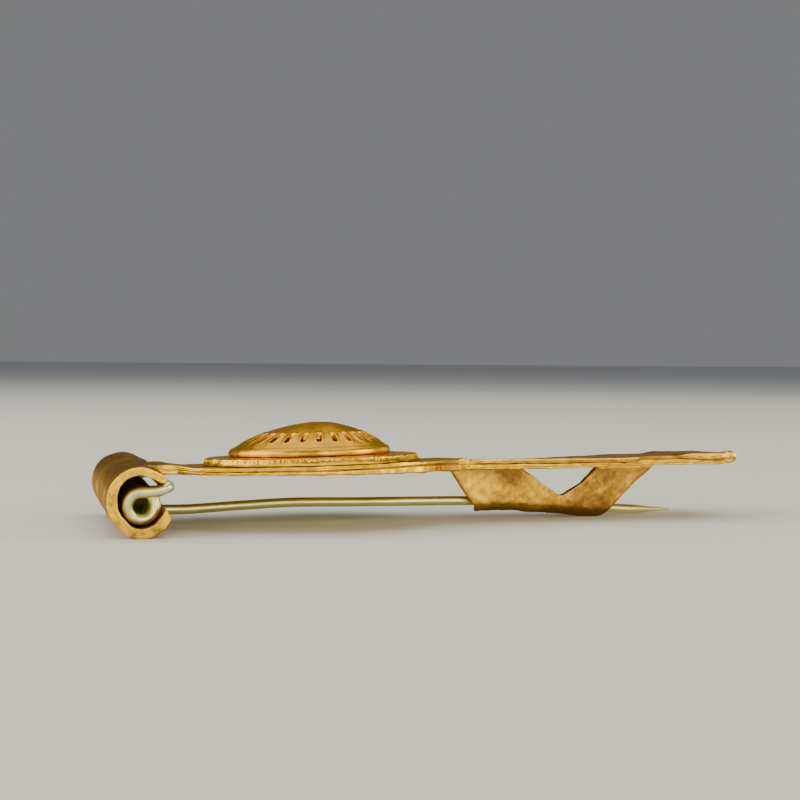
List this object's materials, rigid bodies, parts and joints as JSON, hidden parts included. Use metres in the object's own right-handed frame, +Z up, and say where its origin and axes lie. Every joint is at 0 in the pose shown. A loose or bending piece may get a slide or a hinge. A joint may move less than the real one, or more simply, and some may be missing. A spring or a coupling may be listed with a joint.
{
  "type": "fibula brooch",
  "caption": "Thistle-type bow brooch in brass: curled spring case, oval bow plate with a disc and pierced dome, two-layer foot, notched catchplate, sprung steel pin.",
  "frame": {"origin": "on the table under the middle of the brooch's bounding box, with the brooch lying on its spring case and its catch", "axes": "+X along the brooch from the spring case to the foot, +Y across it, +Z up through the dome"},
  "size_m": [0.0726, 0.024, 0.0111],
  "materials": {
    "browned_brass": "hammered, browned in the hollows",
    "brass": "punched, worn bright",
    "bright_brass": "rubbed bright",
    "steel_wire": "drawn wire, dull"
  },
  "bodies": {
    "brooch": {"body": "browned_brass", "disc": "brass", "dome": "bright_brass", "foot_overlay": "bright_brass", "spring": "steel_wire"},
    "pin": {"pin": "steel_wire"}
  },
  "joints": [
    {"name": "pin_spring", "type": "hinge", "parent": "brooch", "child": "pin", "pos_m": [-0.03232, 0, 0.00318], "axis": [0, -1, 0], "range_deg": [0, 4], "stiffness_Nm_per_rad": 0.003}
  ]
}
